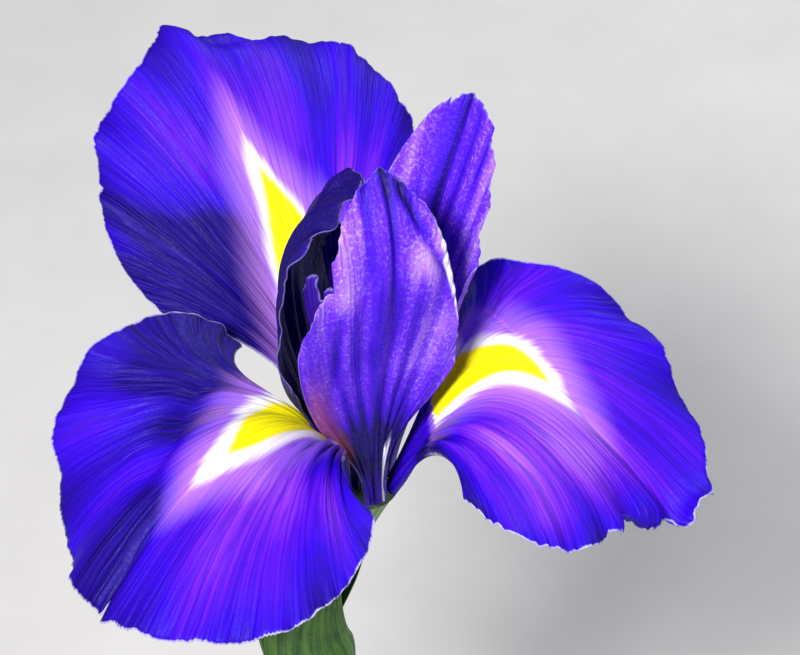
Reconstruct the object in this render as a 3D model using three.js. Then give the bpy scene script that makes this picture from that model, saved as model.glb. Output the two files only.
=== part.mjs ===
// One blue-violet bulbous iris on its cut stem, standing in a plain stoneware bud vase.
// Millimetres, +Z up. The origin is the centre of the vase's underside.
import * as THREE from 'three';

// ---- Vase: control radii and heights of the outside wall, foot to lip ----
const VASE_HEIGHT = 110;
const FOOT_RADIUS = 26;
const LIP_RADIUS = 14.5;
const VASE_RADII = [FOOT_RADIUS, 43, 44, 3.5, 9.5, LIP_RADIUS];
const VASE_HEIGHTS = [1.5, 20, 60, 76, 96, VASE_HEIGHT];
const WALL = 3;
const FLOOR = 4;
const FOOT_BEVEL = 1.5;
const LIP_ROUND = 0.8;
const VASE_ROWS = 14;
const VASE_SIDES = 32;

// ---- Stem: leans a little in the vase, from just off its floor at +X to above its neck at -X ----
const STEM_RADIUS = 3.6;
const STEM_FOOT_WIDENING = 1.04;
const STEM_TAPER = 0.1;
const STEM_CLEARANCE = 0.9;
const STEM_FOOT = new THREE.Vector3(6, 0, FLOOR + STEM_CLEARANCE);
const STEM_TOP = new THREE.Vector3(-9, 0, 150);

// ---- Ovary and tube: radii from the stem's top to the claws of the petals ----
// ease: how far the bend runs straight on at both ends. start: where the ovary begins, as a
// share of the bend, clear of the stem. gap: its clearance below the claws.
const FLOWER_BASE = new THREE.Vector3(1, 0, 185);
const OVARY_RADII = [3.2, 5.6, 5.2, 2.0, 1.8, 5.4];
const OVARY_EASE = 12;
const OVARY_START = 0.01;
const CLAW_GAP = 0.6;

// ---- Two green spathes round the ovary ----
// from, to: distances below the flower's base. facing: the middle of the sheath, in degrees.
// wrap: half the angle that it covers, radii: its distance from the stalk, both base to tip.
const SPATHES = {
  spathe_outer: {
    from: 55,
    to: 9,
    facing: -125,
    wrap: [128, 128, 110, 62, 8],
    radii: [4.9, 8.4, 9.0, 7.4, 5.0],
  },
  spathe_inner: {
    from: 43,
    to: 12,
    facing: 75,
    wrap: [120, 120, 100, 60, 8],
    radii: [5.0, 5.2, 5.6, 6.4, 7.0],
  },
};

// ---- Two leaves that clasp the stem just above the vase ----
// nodeAt: place on the stem, from its foot to its top. The rest is as for a petal.
const LEAVES = {
  leaf_long: {
    nodeAt: 0.75,
    azimuth: 196,
    midrib: [[4.7, 0], [5, 14], [17, 34], [50, 30], [84, 2]],
    sway: -6,
    base: 6,
    spread: [30, 30],
    width: [1.6, 1.6],
    tip: [6, 6],
    haft: [[7, 24], [7, 24]],
    waist: [[6, 62], [6, 62]],
    lift: [0, 0],
    curl: [[215, 60, 25], [215, 60, 25]],
    fold: [[0, 10, 14], [0, 10, 14]],
    roll: 12,
  },
  leaf_short: {
    nodeAt: 0.79,
    azimuth: -32,
    midrib: [[5.8, 0], [6.5, 10], [16, 26], [38, 22], [54, 4]],
    sway: 5,
    base: 5,
    spread: [30, 30],
    width: [1.4, 1.4],
    tip: [6, 6],
    haft: [[6, 18], [6, 18]],
    waist: [[5, 44], [5, 44]],
    lift: [0, 0],
    curl: [[180, 60, 25], [180, 60, 25]],
    fold: [[0, 10, 14], [0, 10, 14]],
    roll: -14,
  },
};

// ---- Mesh cells along and across each sheet, and along and around each rod ----
const FALL_CELLS = [10, 16];
const STANDARD_CELLS = [10, 8];
const STYLE_CELLS = [9, 6];
const SPATHE_CELLS = [9, 8];
const LEAF_CELLS = [13, 6];
const STALK_CELLS = [12, 12];
const STAMEN_CELLS = [12, 6];

// ---- Thickness of the living tissue ----
const PETAL_THICKNESS = 0.8;
const STYLE_THICKNESS = 0.6;
const LEAF_THICKNESS = 1.0;

// ---- Surface measures: the finite step that finds a sheet's normal, and the roundings of a
// petal's fold line, its cleft tip and its least curl ----
const NORMAL_STEP = 1e-3;
const CREASE_ROUND = 2;
const CLEFT_SPREAD = 0.22;
const LEAST_CURL = 1e-6;

// ---- Petals ----
// Each petal is laid out flat and then bent. azimuth: where it points, in degrees from +X.
// midrib: control points [distance from the flower's axis, height] of the centre line.
// sway: sideways drift of the tip. base: half width at the claw.
// Values in pairs are for the anticlockwise half and for the clockwise half.
// spread: how far round the rounded blade the margin reaches, in degrees. width, tip: the
// blade's half width and the length of its rounded end. haft, waist: [half width, distance
// from the claw] of the outline's two inner control points. lift: moves the waist at the margins.
// curl: curvature across the petal in 1/1000 per mm, at the claw, the middle and the tip.
// fold: V angle across the petal in degrees, at the same places. roll: twist of the tip.
// cleft: depth of the notch in the middle of the tip, where there is one.
const FALLS = {
  fall_right: {
    azimuth: -8,
    midrib: [[4.6, 0], [12, 16], [18, 43], [33, 34], [47, 15], [50, 16]],
    sway: -15,
    base: 1.9,
    spread: [120, 127],
    width: [22.5, 28.5],
    tip: [37.5, 21],
    haft: [[4.5, 18], [2.5, 18]],
    waist: [[14, 32], [14, 32]],
    lift: [0, -4.5],
    curl: [[0.5, -14, -9], [-1.5, -7, 0.5]],
    fold: [[30, 7, 20.5], [14, -3, 3]],
    roll: 6,
  },
  fall_rear: {
    azimuth: 114,
    midrib: [[4.6, 0], [13, 13], [26, 26], [43, 39], [56, 51], [63, 47]],
    sway: 5,
    base: 1.9,
    spread: [124, 124],
    width: [26, 31],
    tip: [29.5, 22],
    haft: [[2.5, 16], [2.5, 18]],
    waist: [[14.5, 30], [13, 34]],
    lift: [-1, 4.5],
    curl: [[0.5, -11, -18], [8, 2.5, -3]],
    fold: [[7, -5, -18], [11, 1, -27]],
    roll: 7,
  },
  fall_left: {
    azimuth: 224,
    midrib: [[4.6, 0], [7.5, 18], [13, 32], [28, 33], [44.5, 27], [58, 18]],
    sway: 3,
    base: 1.9,
    spread: [133, 137],
    width: [29.5, 30.5],
    tip: [24.5, 31],
    haft: [[2.5, 18], [2.5, 18]],
    waist: [[12, 33], [12, 33]],
    lift: [2.5, 2.5],
    curl: [[-1.5, -12, -16], [19, 15.5, -1.5]],
    fold: [[6.5, -2, -3], [7, 1.5, -25]],
    roll: 11,
  },
};

const STANDARDS = {
  standard_front: {
    azimuth: 292,
    midrib: [[4.4, 0], [3.5, 17], [5, 35.5], [12, 50.5], [12.5, 58.5], [0, 65.5]],
    sway: 3,
    base: 1.6,
    spread: [90, 81],
    width: [11.7, 13.5],
    tip: [39, 39.5],
    haft: [[1.3, 17], [2, 15]],
    waist: [[7.7, 21], [10.5, 18]],
    lift: [-3.8, -7.2],
    curl: [[8, 6, 22], [20, 24, 19]],
    fold: [[-6, -24, 8], [9, 5, -1]],
    roll: 10,
  },
  standard_rear: {
    azimuth: 49,
    midrib: [[4.4, 0], [6, 15], [9, 30], [15, 43], [21.5, 54.5], [25.5, 64.5]],
    sway: 0,
    base: 1.6,
    spread: [93, 94],
    width: [10.5, 10.5],
    tip: [29, 26],
    haft: [[2.5, 14], [2.5, 14]],
    waist: [[10.5, 26], [10.5, 26]],
    lift: [0, 0],
    curl: [[20, 23, 23], [24, 28, 26]],
    fold: [[7, 5, 5], [10, 10, 5]],
    roll: 2,
  },
  standard_left: {
    azimuth: 162,
    midrib: [[4.2, 0], [5.5, 14], [12.5, 30], [16.5, 44], [12, 58], [0, 63.5]],
    sway: 0,
    base: 1.6,
    spread: [95, 95],
    width: [13, 13],
    tip: [36, 36],
    haft: [[2, 15], [2, 15]],
    waist: [[10, 26], [10, 26]],
    lift: [0, 0],
    curl: [[22, 26, 28], [22, 26, 28]],
    fold: [[6, 4, 6], [6, 4, 6]],
    roll: 0,
  },
};

// ---- The three petal-like style arms, one over each fall, with a stamen beneath ----
const STYLE_AZIMUTHS = { right: 6, rear: 104, left: 223 };
const STYLE_ARM = {
  midrib: [[1.9, 0], [2.6, 13], [3.6, 24], [6.5, 36], [9, 43], [8, 51]],
  sway: 0,
  base: 1.1,
  spread: [60, 60],
  width: [5, 5],
  tip: [12, 12],
  haft: [[1.4, 14], [1.4, 14]],
  waist: [[3, 30], [3, 30]],
  lift: [0, 0],
  curl: [[-90, -60, 20], [-90, -60, 20]],
  fold: [[-14, -14, 4], [-14, -14, 4]],
  roll: 0,
  cleft: 5,
};

// ---- Stamens: a thread up to half its length, then the long anther ----
const STAMEN_LINE = [[3.2, 0], [4, 13], [5.2, 24], [8.6, 33]];
const FILAMENT_RADIUS = 0.4;
const ANTHER_FROM = 0.5;
const ANTHER_TO = 1.04;
const ANTHER_EXTRA_WIDTH = 0.75;
const ANTHER_EXTRA_THICKNESS = 0.15;

// ---- Surfaces: colour and roughness ----
const FALL_SKIN = { color: 0x4a21c9, roughness: 0.55 };
const STANDARD_SKIN = { color: 0x7a5ae0, roughness: 0.5 };
const STYLE_SKIN = { color: 0x3a1fa0, roughness: 0.5 };
const POLLEN_SKIN = { color: 0xc9a83a, roughness: 0.8 };
const LEAF_SKIN = { color: 0x3f6b2c, roughness: 0.55 };
const STEM_SKIN = { color: 0x4c7d34, roughness: 0.6 };
const SPATHE_SKIN = { color: 0x3e7a30, roughness: 0.6 };
const GLAZE_SKIN = { color: 0xcfc8bb, roughness: 0.45 };

// ---- Curves ----
const ACROSS = new THREE.Vector3(0, 1, 0);

// A Bezier of any degree through plain numbers.
function bezier(values, u) {
  let level = values;
  while (level.length > 1) {
    level = level.slice(1).map((next, i) => level[i] + (next - level[i]) * u);
  }
  return level[0];
}

const degrees = THREE.MathUtils.degToRad;
const unit = (u) => THREE.MathUtils.clamp(u, 0, 1);

// A petal's centre line, in its own upright plane: x away from the axis, y sideways, z up.
class Midrib extends THREE.Curve {
  constructor(points, sway) {
    super();
    this.reaches = points.map((point) => point[0]);
    this.heights = points.map((point) => point[1]);
    this.sway = sway;
    this.span = this.getLength();
  }

  getPoint(u, target = new THREE.Vector3()) {
    return target.set(bezier(this.reaches, u), this.sway * u * u, bezier(this.heights, u));
  }

  // Place and direction at a distance along the line, carried on straight past its end.
  frameAt(distance) {
    const u = unit(distance / this.span);
    const along = this.getTangentAt(u);
    const place = this.getPointAt(u).addScaledVector(along, distance - u * this.span);
    return { place, along };
  }
}

// ---- Surfaces ----
function indexedGeometry(positions, index) {
  const geometry = new THREE.BufferGeometry();
  geometry.setAttribute('position', new THREE.Float32BufferAttribute(positions, 3));
  geometry.setIndex(index);
  geometry.computeVertexNormals();
  return geometry;
}

// The flat outline: s runs from the claw to the margin, t from one side to the other.
function flatPetal(petal, span, s, t) {
  const side = t >= 0 ? 0 : 1;
  const turn = degrees(t * petal.spread[side]);
  const tip = petal.tip[side];
  const cleft = (petal.cleft ?? 0) * Math.exp(-((t / CLEFT_SPREAD) ** 2));
  const [haftWidth, haftAt] = petal.haft[side];
  const [waistWidth, waistAt] = petal.waist[side];
  const lifted = waistAt + petal.lift[side] * t * t;
  const marginX = petal.width[side] * Math.sin(turn);
  const marginY = span - tip + tip * Math.cos(turn) - cleft;
  return {
    x: bezier([t * petal.base, t * haftWidth, t * waistWidth, marginX], s),
    y: bezier([0, haftAt, lifted, marginY], s),
  };
}

// Bends a flat point on its midrib, curls it across, and turns it to the petal's azimuth.
function bendPetal(petal, midrib, { x, y }) {
  const { place, along } = midrib.frameAt(y);
  const u = unit(y / midrib.span);
  const side = x >= 0 ? 0 : 1;
  const across = new THREE.Vector3(0, 1, 0).addScaledVector(along, -along.y).normalize();
  const inward = new THREE.Vector3().crossVectors(along, across);
  const roll = degrees(petal.roll * u * u);
  across.applyAxisAngle(along, roll);
  inward.applyAxisAngle(along, roll);

  const curl = bezier(petal.curl[side], u) / 1000 || LEAST_CURL;
  const fold = degrees(bezier(petal.fold[side], u));
  const reach = Math.sin(curl * x) / curl;
  const rise = (1 - Math.cos(curl * x)) / curl;
  const crease = Math.hypot(x, CREASE_ROUND) - CREASE_ROUND;
  place.addScaledVector(across, reach * Math.cos(fold) - Math.sign(x) * Math.sin(fold) * rise);
  place.addScaledVector(inward, rise * Math.cos(fold) + Math.sin(fold) * crease);
  return place.applyAxisAngle(new THREE.Vector3(0, 0, 1), degrees(petal.azimuth));
}

// A closed skin of even thickness about a sheet given by pointAt(s, t), s in 0..1, t in -1..1.
function sheet(pointAt, [rows, columns], thickness) {
  const sAt = (row) => row / rows;
  const tAt = (column) => (2 * column) / columns - 1;
  const step = NORMAL_STEP;
  const positions = [];
  for (const offset of [thickness / 2, -thickness / 2]) {
    for (let row = 0; row <= rows; row += 1) {
      for (let column = 0; column <= columns; column += 1) {
        const s = THREE.MathUtils.clamp(sAt(row), step, 1 - step);
        const t = THREE.MathUtils.clamp(tAt(column), -1 + step, 1 - step);
        const alongS = pointAt(s + step, t).sub(pointAt(s - step, t));
        const alongT = pointAt(s, t + step).sub(pointAt(s, t - step));
        const normal = alongS.cross(alongT).normalize();
        const point = pointAt(sAt(row), tAt(column)).addScaledVector(normal, offset);
        positions.push(point.x, point.y, point.z);
      }
    }
  }

  const wide = columns + 1;
  const under = (rows + 1) * wide;
  const index = [];
  const quad = (a, b, c, d) => index.push(a, b, c, a, c, d);
  for (let row = 0; row < rows; row += 1) {
    for (let column = 0; column < columns; column += 1) {
      const a = row * wide + column;
      quad(a, a + wide, a + wide + 1, a + 1);
      quad(under + a, under + a + 1, under + a + wide + 1, under + a + wide);
    }
  }
  for (let column = 0; column < columns; column += 1) {
    const far = rows * wide + column;
    quad(column, column + 1, under + column + 1, under + column);
    quad(far, under + far, under + far + 1, far + 1);
  }
  for (let row = 0; row < rows; row += 1) {
    const left = row * wide;
    const right = left + columns;
    quad(left, under + left, under + left + wide, left + wide);
    quad(right, right + wide, under + right + wide, under + right);
  }
  return indexedGeometry(positions, index);
}

function petalGeometry(petal, cells, thickness) {
  const midrib = new Midrib(petal.midrib, petal.sway);
  const pointAt = (s, t) => bendPetal(petal, midrib, flatPetal(petal, midrib.span, s, t));
  return sheet(pointAt, cells, thickness);
}

// A closed rod along a curve in the XZ plane. sizeAt gives its half width along Y and its
// half thickness square to that.
function rod(curve, sizeAt, [steps, sides]) {
  const positions = [];
  for (let i = 0; i <= steps; i += 1) {
    const u = i / steps;
    const centre = curve.getPointAt(u);
    const along = curve.getTangentAt(u);
    const normal = new THREE.Vector3().crossVectors(along, ACROSS).normalize();
    const [halfWidth, halfThickness] = sizeAt(u);
    for (let j = 0; j < sides; j += 1) {
      const turn = (2 * Math.PI * j) / sides;
      const point = centre.clone();
      point.addScaledVector(ACROSS, halfWidth * Math.cos(turn));
      point.addScaledVector(normal, halfThickness * Math.sin(turn));
      positions.push(point.x, point.y, point.z);
    }
  }
  const first = (steps + 1) * sides;
  positions.push(...curve.getPointAt(0), ...curve.getPointAt(1));

  const index = [];
  for (let j = 0; j < sides; j += 1) {
    const next = (j + 1) % sides;
    for (let i = 0; i < steps; i += 1) {
      const a = i * sides + j;
      const b = i * sides + next;
      index.push(a, b + sides, a + sides, a, b, b + sides);
    }
    const last = steps * sides;
    index.push(first, next, j);
    index.push(first + 1, last + j, last + next);
  }
  return indexedGeometry(positions, index);
}

// ---- Vase ----
function vaseGeometry() {
  const outside = [];
  for (let i = 0; i <= VASE_ROWS; i += 1) {
    const u = i / VASE_ROWS;
    outside.push(new THREE.Vector2(bezier(VASE_RADII, u), bezier(VASE_HEIGHTS, u)));
  }
  const inside = outside
    .filter((point) => point.y > FLOOR + WALL)
    .map((point) => new THREE.Vector2(point.x - WALL, point.y))
    .reverse();
  const profile = [
    new THREE.Vector2(0, 0),
    new THREE.Vector2(FOOT_RADIUS - FOOT_BEVEL, 0),
    ...outside,
    new THREE.Vector2(LIP_RADIUS - WALL / 2, VASE_HEIGHT + LIP_ROUND),
    ...inside,
    new THREE.Vector2(FOOT_RADIUS - 2 * WALL, FLOOR),
    new THREE.Vector2(0, FLOOR),
  ];
  return new THREE.LatheGeometry(profile, VASE_SIDES).rotateX(Math.PI / 2);
}

// ---- Stalk: the straight stem, then the gentle bend of the ovary up to the flower ----
function makeStalk() {
  const lean = new THREE.Vector3().subVectors(STEM_TOP, STEM_FOOT).normalize();
  const bendStart = STEM_TOP.clone().addScaledVector(lean, OVARY_EASE);
  const bendEnd = FLOWER_BASE.clone().setZ(FLOWER_BASE.z - OVARY_EASE);
  const stem = new THREE.LineCurve3(STEM_FOOT, STEM_TOP);
  const ovary = new THREE.CubicBezierCurve3(STEM_TOP, bendStart, bendEnd, FLOWER_BASE);
  return { stem, ovary, lean };
}

// ---- Spathe: a green sheath wrapped part of the way round the ovary ----
function spatheGeometry(spathe, stalk) {
  const path = new THREE.CurvePath();
  path.add(stalk.stem);
  path.add(stalk.ovary);
  const pathLength = path.getLength();
  const pointAt = (s, t) => {
    const below = THREE.MathUtils.lerp(spathe.from, spathe.to, s);
    const place = path.getPointAt(1 - below / pathLength);
    const along = path.getTangentAt(1 - below / pathLength);
    const forward = new THREE.Vector3().crossVectors(ACROSS, along).normalize();
    const turn = degrees(spathe.facing + t * bezier(spathe.wrap, s));
    const radius = bezier(spathe.radii, s);
    place.addScaledVector(forward, radius * Math.cos(turn));
    return place.addScaledVector(ACROSS, radius * Math.sin(turn));
  };
  return sheet(pointAt, SPATHE_CELLS, LEAF_THICKNESS);
}

// ---- Stamen: a thread ending in a long anther that lies along the style arm's underside ----
function stamenGeometry(azimuth) {
  const curve = new Midrib(STAMEN_LINE, 0);
  const sizeAt = (u) => {
    const anther = Math.sin(Math.PI * unit((u - ANTHER_FROM) / (ANTHER_TO - ANTHER_FROM)));
    return [
      FILAMENT_RADIUS + ANTHER_EXTRA_WIDTH * Math.sqrt(anther),
      FILAMENT_RADIUS + ANTHER_EXTRA_THICKNESS * anther,
    ];
  };
  return rod(curve, sizeAt, STAMEN_CELLS).rotateZ(degrees(azimuth));
}

// ---- Assembly ----
const iris = new THREE.Group();

function addPiece(name, geometry, skin, place = new THREE.Vector3()) {
  const material = new THREE.MeshStandardMaterial({ ...skin, metalness: 0 });
  const mesh = new THREE.Mesh(geometry, material);
  mesh.name = name;
  mesh.position.copy(place);
  iris.add(mesh);
  return mesh;
}

const stalk = makeStalk();
addPiece('vase', vaseGeometry(), GLAZE_SKIN);

const stemSize = (u) => {
  const radius = STEM_RADIUS * (STEM_FOOT_WIDENING - STEM_TAPER * u);
  return [radius, radius];
};
addPiece('stem', rod(stalk.stem, stemSize, STALK_CELLS), STEM_SKIN);

const ovarySize = (u) => {
  const radius = bezier(OVARY_RADII, u);
  return [radius, radius];
};
const ovaryCurve = new THREE.CubicBezierCurve3(
  stalk.ovary.getPointAt(OVARY_START),
  stalk.ovary.v1,
  stalk.ovary.v2,
  FLOWER_BASE.clone().setZ(FLOWER_BASE.z - CLAW_GAP),
);
addPiece('ovary_tube', rod(ovaryCurve, ovarySize, STALK_CELLS), SPATHE_SKIN);

for (const [name, spathe] of Object.entries(SPATHES)) {
  addPiece(name, spatheGeometry(spathe, stalk), SPATHE_SKIN);
}

const leanAngle = Math.atan2(stalk.lean.x, stalk.lean.z);
for (const [name, leaf] of Object.entries(LEAVES)) {
  const node = stalk.stem.getPointAt(leaf.nodeAt);
  const geometry = petalGeometry(leaf, LEAF_CELLS, LEAF_THICKNESS);
  const mesh = addPiece(name, geometry, LEAF_SKIN, node);
  mesh.rotation.y = leanAngle;
}

for (const [name, petal] of Object.entries(FALLS)) {
  const geometry = petalGeometry(petal, FALL_CELLS, PETAL_THICKNESS);
  addPiece(name, geometry, FALL_SKIN, FLOWER_BASE);
}

for (const [name, petal] of Object.entries(STANDARDS)) {
  const geometry = petalGeometry(petal, STANDARD_CELLS, PETAL_THICKNESS);
  addPiece(name, geometry, STANDARD_SKIN, FLOWER_BASE);
}

for (const [name, azimuth] of Object.entries(STYLE_AZIMUTHS)) {
  const style = { ...STYLE_ARM, azimuth };
  const geometry = petalGeometry(style, STYLE_CELLS, STYLE_THICKNESS);
  addPiece(`style_arm_${name}`, geometry, STYLE_SKIN, FLOWER_BASE);
  addPiece(`stamen_${name}`, stamenGeometry(azimuth), POLLEN_SKIN, FLOWER_BASE);
}

export default iris;
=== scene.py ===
"""A blue-violet bulbous iris standing in a plain glazed bud vase: its looks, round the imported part."""
import math

import bpy
import numpy as np
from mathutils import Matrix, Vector


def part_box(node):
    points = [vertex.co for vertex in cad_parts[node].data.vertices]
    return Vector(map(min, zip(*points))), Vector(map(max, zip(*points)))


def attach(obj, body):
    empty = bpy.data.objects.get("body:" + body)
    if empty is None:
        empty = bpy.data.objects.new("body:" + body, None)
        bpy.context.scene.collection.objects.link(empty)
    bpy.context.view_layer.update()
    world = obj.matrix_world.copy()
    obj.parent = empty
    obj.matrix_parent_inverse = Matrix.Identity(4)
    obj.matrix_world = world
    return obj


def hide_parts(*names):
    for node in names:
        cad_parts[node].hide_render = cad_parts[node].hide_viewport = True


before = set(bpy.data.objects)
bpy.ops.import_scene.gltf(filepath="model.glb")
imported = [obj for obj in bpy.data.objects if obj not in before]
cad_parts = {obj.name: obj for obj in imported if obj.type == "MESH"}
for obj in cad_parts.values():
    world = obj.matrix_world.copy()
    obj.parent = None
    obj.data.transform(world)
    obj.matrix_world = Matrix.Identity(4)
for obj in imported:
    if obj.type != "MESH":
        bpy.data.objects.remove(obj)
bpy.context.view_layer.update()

MM = 0.001

# ---- Places, from the frame, in millimetres ----
TUBE_FLARE = 5.4
CLAW_GAP = 0.6


def node_box(name):
    low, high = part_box(name)
    return np.array(low) / MM, np.array(high) / MM


TUBE_HIGH = node_box("ovary_tube")[1]
FLOWER_BASE = np.array([TUBE_HIGH[0] - TUBE_FLARE, 0.0, TUBE_HIGH[2] + CLAW_GAP])
STEM_LOW, STEM_HIGH = node_box("stem")


# ---- Petals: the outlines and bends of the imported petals, in millimetres and degrees ----
def both_sides(**settings):
    """The same settings for the anticlockwise half and for the clockwise half."""
    return {key: (value, value) for key, value in settings.items()}


# Values in pairs are for the anticlockwise half and for the clockwise half. The midrib's points
# are (away from the axis, up), and curl is in thousandths of 1/mm.
FALLS = {
    "fall_right": dict(
        azimuth=-8, midrib=[(4.6, 0), (12, 16), (18, 43), (33, 34), (47, 15), (50, 16)], sway=-15,
        base=1.9, spread=(120, 127), width=(22.5, 28.5), tip=(37.5, 21),
        haft=((4.5, 18), (2.5, 18)), waist=((14, 32), (14, 32)), lift=(0, -4.5),
        curl=((0.5, -14, -9), (-1.5, -7, 0.5)), fold=((30, 7, 20.5), (14, -3, 3)), roll=6,
    ),
    "fall_rear": dict(
        azimuth=114, midrib=[(4.6, 0), (13, 13), (26, 26), (43, 39), (56, 51), (63, 47)], sway=5,
        base=1.9, spread=(124, 124), width=(26, 31), tip=(29.5, 22),
        haft=((2.5, 16), (2.5, 18)), waist=((14.5, 30), (13, 34)), lift=(-1, 4.5),
        curl=((0.5, -11, -18), (8, 2.5, -3)), fold=((7, -5, -18), (11, 1, -27)), roll=7,
    ),
    "fall_left": dict(
        azimuth=224, midrib=[(4.6, 0), (7.5, 18), (13, 32), (28, 33), (44.5, 27), (58, 18)], sway=3,
        base=1.9, spread=(133, 137), width=(29.5, 30.5), tip=(24.5, 31),
        haft=((2.5, 18), (2.5, 18)), waist=((12, 33), (12, 33)), lift=(2.5, 2.5),
        curl=((-1.5, -12, -16), (19, 15.5, -1.5)), fold=((6.5, -2, -3), (7, 1.5, -25)), roll=11,
    ),
}
STANDARDS = {
    "standard_front": dict(
        azimuth=292, midrib=[(4.4, 0), (3.5, 17), (5, 35.5), (12, 50.5), (12.5, 58.5), (0, 65.5)],
        sway=3, base=1.6, spread=(90, 81), width=(11.7, 13.5), tip=(39, 39.5),
        haft=((1.3, 17), (2, 15)), waist=((7.7, 21), (10.5, 18)), lift=(-3.8, -7.2),
        curl=((8, 6, 22), (20, 24, 19)), fold=((-6, -24, 8), (9, 5, -1)), roll=10,
    ),
    "standard_rear": dict(
        azimuth=49, midrib=[(4.4, 0), (6, 15), (9, 30), (15, 43), (21.5, 54.5), (25.5, 64.5)], sway=0,
        base=1.6, spread=(93, 94), width=(10.5, 10.5), tip=(29, 26),
        haft=((2.5, 14), (2.5, 14)), waist=((10.5, 26), (10.5, 26)), lift=(0, 0),
        curl=((20, 23, 23), (24, 28, 26)), fold=((7, 5, 5), (10, 10, 5)), roll=2,
    ),
    "standard_left": dict(
        azimuth=162, midrib=[(4.2, 0), (5.5, 14), (12.5, 30), (16.5, 44), (12, 58), (0, 63.5)], sway=0,
        base=1.6, roll=0,
        **both_sides(
            spread=95, width=13, tip=36, haft=(2, 15), waist=(10, 26), lift=0,
            curl=(22, 26, 28), fold=(6, 4, 6),
        ),
    ),
}
STYLE_AZIMUTHS = {"right": 6, "rear": 104, "left": 223}
STYLE_ARM = dict(
    midrib=[(1.9, 0), (2.6, 13), (3.6, 24), (6.5, 36), (9, 43), (8, 51)], sway=0,
    base=1.1, roll=0, cleft=5,
    **both_sides(
        spread=60, width=5, tip=12, haft=(1.4, 14), waist=(3, 30), lift=0,
        curl=(-90, -60, 20), fold=(-14, -14, 4),
    ),
)
LEAVES = {
    "leaf_long": dict(
        node_at=0.75, azimuth=196, midrib=[(4.7, 0), (5, 14), (17, 34), (50, 30), (84, 2)], sway=-6,
        base=6, roll=12,
        **both_sides(
            spread=30, width=1.6, tip=6, haft=(7, 24), waist=(6, 62), lift=0,
            curl=(215, 60, 25), fold=(0, 10, 14),
        ),
    ),
    "leaf_short": dict(
        node_at=0.79, azimuth=-32, midrib=[(5.8, 0), (6.5, 10), (16, 26), (38, 22), (54, 4)], sway=5,
        base=5, roll=-14,
        **both_sides(
            spread=30, width=1.4, tip=6, haft=(6, 18), waist=(5, 44), lift=0,
            curl=(180, 60, 25), fold=(0, 10, 14),
        ),
    ),
}

# ---- Yellow signals on the falls, measured on the flat petal ----
# shift: how far the mark lies to the anticlockwise side, until it meets the midline at `meets`.
# yellow and white: half width of each, and how far from the claw each ends.
SIGNALS = {
    "fall_right": dict(shift=4.4, meets=48, yellow=(4.3, 42), white=(6.2, 47)),
    "fall_rear": dict(shift=-1.4, meets=56, yellow=(5.3, 51), white=(5.9, 55)),
    "fall_left": dict(shift=-2.4, meets=42, yellow=(4.4, 43), white=(6.4, 49)),
}
SIGNAL_START = 20


# ---- Curves and surfaces ----
def bezier(values, u):
    """A Bezier of any degree through plain numbers or arrays."""
    level = [value + 0.0 * u for value in values]
    while len(level) > 1:
        level = [a + (b - a) * u for a, b in zip(level, level[1:])]
    return level[0]


def unit_rows(vectors):
    return vectors / np.linalg.norm(vectors, axis=-1, keepdims=True)


def smooth(low, high, value):
    x = np.clip((value - low) / (high - low), 0, 1)
    return x * x * (3 - 2 * x)


def waves(a, b, a_rate, b_rate, seed, count=9):
    """Smooth, seeded waviness over two coordinates, mostly within -1..1."""
    random = np.random.default_rng(seed)
    total = np.zeros(np.broadcast(a, b).shape)
    for _ in range(count):
        fa = a_rate * random.uniform(0.45, 1.5) * random.choice([-1, 1])
        fb = b_rate * random.uniform(-1, 1)
        total += np.sin(2 * math.pi * (fa * a + fb * b + random.uniform()))
    return total / math.sqrt(count)


class Midrib:
    """A petal's centre line in its own upright plane: away from the axis, sideways, up."""

    def __init__(self, points, sway):
        u = np.linspace(0, 1, 500)
        reach = bezier([p[0] for p in points], u)
        rise = bezier([p[1] for p in points], u)
        self.line = np.stack([reach, sway * u * u, rise], -1)
        steps = np.linalg.norm(np.diff(self.line, axis=0), axis=1)
        self.distance = np.concatenate([[0], np.cumsum(steps)])
        self.span = self.distance[-1]
        self.slope = unit_rows(np.gradient(self.line, axis=0))

    def frame_at(self, distance):
        inside = np.clip(distance, 0, self.span)
        columns = range(3)
        place = np.stack([np.interp(inside, self.distance, self.line[:, k]) for k in columns], -1)
        along = np.stack([np.interp(inside, self.distance, self.slope[:, k]) for k in columns], -1)
        along = unit_rows(along)
        return place + (distance - inside)[..., None] * along, along


def by_side(pair, positive):
    return np.where(positive, *pair)


CLEFT_SPREAD = 0.22


def flat_petal(petal, span, s, t):
    """The flat outline: s runs from the claw to the margin, t from one side to the other."""
    positive = t >= 0
    turn = np.radians(t * by_side(petal["spread"], positive))
    tip = by_side(petal["tip"], positive)
    cleft = petal.get("cleft", 0) * np.exp(-((t / CLEFT_SPREAD) ** 2))
    haft_width, haft_at = (by_side(v, positive) for v in zip(*petal["haft"]))
    waist_width, waist_at = (by_side(v, positive) for v in zip(*petal["waist"]))
    lifted = waist_at + by_side(petal["lift"], positive) * t * t
    margin_x = by_side(petal["width"], positive) * np.sin(turn)
    margin_y = span - tip + tip * np.cos(turn) - cleft
    x = bezier([t * petal["base"], t * haft_width, t * waist_width, margin_x], s)
    y = bezier([0 * t, haft_at, lifted, margin_y], s)
    return x, y


LEAST_CURL = 1e-5
CREASE_ROUND = 2


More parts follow.
